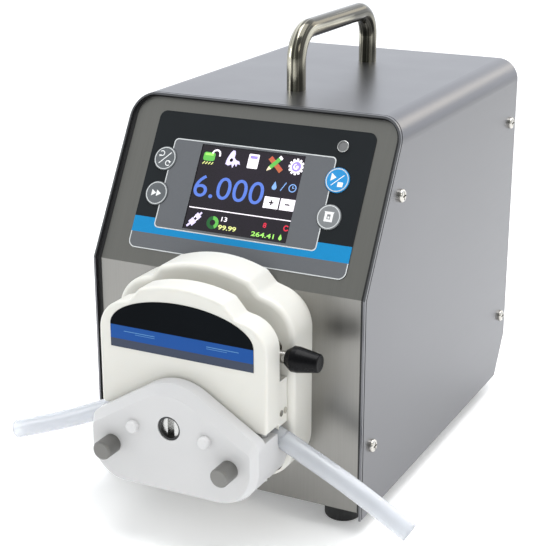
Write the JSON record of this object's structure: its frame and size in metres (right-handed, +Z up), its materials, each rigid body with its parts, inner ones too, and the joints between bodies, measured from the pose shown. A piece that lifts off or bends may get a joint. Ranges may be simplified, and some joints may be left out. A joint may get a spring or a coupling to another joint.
{
  "type": "peristaltic pump",
  "caption": "Benchtop peristaltic pump: brushed steel case with tilted touch-key display panel, bent rod handle and white quick-release roller head with lever and clear tubing.",
  "frame": {"origin": "on the bench under the middle of the whole pump (without the free tubing), z = 0 at the underside of the feet", "axes": "+X to the operator's right, +Y from the pump head to the rear panel, +Z up; the rotor turns about Y and the lever lies along +X when the head is closed"},
  "size_m": [0.2255, 0.291, 0.2357],
  "materials": {
    "cover_steel": "brushed, satin",
    "front_steel": "brushed, satin",
    "tray_steel": "plain",
    "gasket": "matt",
    "foot_rubber": "matt",
    "rod_steel": "polished",
    "screw_steel": "bright",
    "overlay": "fine texture",
    "display_glass": "gloss",
    "display_body": "matt",
    "key_silver": "satin",
    "key_blue": "satin",
    "board": "matt",
    "lamp_metal": "bright",
    "lamp_lens": "gloss",
    "supply_case": "plain",
    "motor_black": "satin",
    "alu": "plain",
    "black_plastic": "fine texture",
    "contact_brass": "plain",
    "head_white": "satin",
    "head_front": "satin",
    "nut_grey": "plain",
    "pin_white": "satin",
    "decal": "printed",
    "knob_black": "satin",
    "lever_steel": "bright",
    "rotor_steel": "plain",
    "roller_plastic": "satin",
    "bearing": "plain",
    "tube": "clear silicone"
  },
  "bodies": {
    "case": {"case_cover": "cover_steel", "front_panel": "front_steel", "front_gasket": "gasket", "rear_panel": "tray_steel", "base_tray": "tray_steel", "feet": "foot_rubber", "foot_screws": "screw_steel", "carry_handle": "rod_steel", "handle_screws": "screw_steel", "side_screws": "screw_steel", "control_overlay": "overlay", "display_window": "display_glass", "lcd_module": "display_body", "key_board": "board", "key_switches": "black_plastic", "lamp_bezel": "lamp_metal", "indicator_lamp": "lamp_lens", "power_supply": "supply_case", "control_board": "board", "board_pillars": "alu", "motor_plate": "alu", "stepper_motor": "motor_black", "motor_screws": "screw_steel", "power_inlet": "black_plastic", "inlet_pins": "contact_brass", "inlet_screws": "screw_steel", "fuse_holder": "black_plastic", "switch_frame": "black_plastic", "data_connector": "alu", "jack_screws": "screw_steel", "rear_housing": "head_white", "housing_screws": "screw_steel", "lower_block": "head_front", "shaft_bearings": "bearing", "locating_pins": "pin_white", "guide_posts": "rotor_steel", "tie_studs": "rotor_steel", "cap_nuts": "nut_grey", "pump_tube": "tube", "tube_left": "tube", "tube_right": "tube"},
    "rotor": {"motor_shaft": "rotor_steel", "rotor_shaft": "rotor_steel", "rotor_plates": "rotor_steel", "roller_pins": "rotor_steel"},
    "upper_jaw": {"upper_block": "head_white", "tube_retainers": "head_white", "retainer_screws": "screw_steel", "head_decal": "decal"},
    "lever": {"lever_hub": "lever_steel", "lever_rod": "lever_steel", "lever_knob": "knob_black"},
    "roller_1_body": {"roller_1": "roller_plastic"},
    "roller_2_body": {"roller_2": "roller_plastic"},
    "roller_3_body": {"roller_3": "roller_plastic"},
    "key_prime_body": {"key_prime": "key_silver"},
    "key_direction_body": {"key_direction": "key_silver"},
    "key_menu_body": {"key_menu": "key_silver"},
    "key_start_body": {"key_start": "key_blue"},
    "rocker": {"switch_rocker": "black_plastic"}
  },
  "joints": [
    {"name": "rotor_spin", "type": "hinge", "parent": "case", "child": "rotor", "pos_m": [0, -0.1062, 0.0644], "axis": [0, -1, 0], "continuous": true},
    {"name": "roller_1_spin", "type": "hinge", "parent": "rotor", "child": "roller_1_body", "pos_m": [0, -0.1062, 0.0772], "axis": [0, -1, 0], "continuous": true},
    {"name": "roller_2_spin", "type": "hinge", "parent": "rotor", "child": "roller_2_body", "pos_m": [-0.01108, -0.1062, 0.058], "axis": [0, -1, 0], "continuous": true},
    {"name": "roller_3_spin", "type": "hinge", "parent": "rotor", "child": "roller_3_body", "pos_m": [0.01108, -0.1062, 0.058], "axis": [0, -1, 0], "continuous": true},
    {"name": "jaw_lift", "type": "slide", "parent": "case", "child": "upper_jaw", "axis": [0, 0, 1], "range_m": [0, 0.008]},
    {"name": "lever_turn", "type": "hinge", "parent": "upper_jaw", "child": "lever", "pos_m": [0, -0.1059, 0.0983], "axis": [0, -1, 0], "range_deg": [0, 180]},
    {"name": "key_prime_press", "type": "slide", "parent": "case", "child": "key_prime_body", "axis": [0, 0.8627, -0.5057], "range_m": [0, 0.0006], "stiffness_N_per_m": 600},
    {"name": "key_direction_press", "type": "slide", "parent": "case", "child": "key_direction_body", "axis": [0, 0.8627, -0.5057], "range_m": [0, 0.0006], "stiffness_N_per_m": 600},
    {"name": "key_menu_press", "type": "slide", "parent": "case", "child": "key_menu_body", "axis": [0, 0.8627, -0.5057], "range_m": [0, 0.0006], "stiffness_N_per_m": 600},
    {"name": "key_start_press", "type": "slide", "parent": "case", "child": "key_start_body", "axis": [0, 0.8627, -0.5057], "range_m": [0, 0.0006], "stiffness_N_per_m": 600},
    {"name": "rocker_tip", "type": "hinge", "parent": "case", "child": "rocker", "pos_m": [0.002, 0.1365, 0.0687], "axis": [1, 0, 0], "range_deg": [-20, 0]}
  ],
  "couplings": [
    {"joint": "roller_1_spin", "follows": "rotor_spin", "ratio": -2.8824},
    {"joint": "roller_2_spin", "follows": "rotor_spin", "ratio": -2.8824},
    {"joint": "roller_3_spin", "follows": "rotor_spin", "ratio": -2.8824},
    {"joint": "lever_turn", "follows": "jaw_lift", "rad_per_m": 392.69}
  ]
}
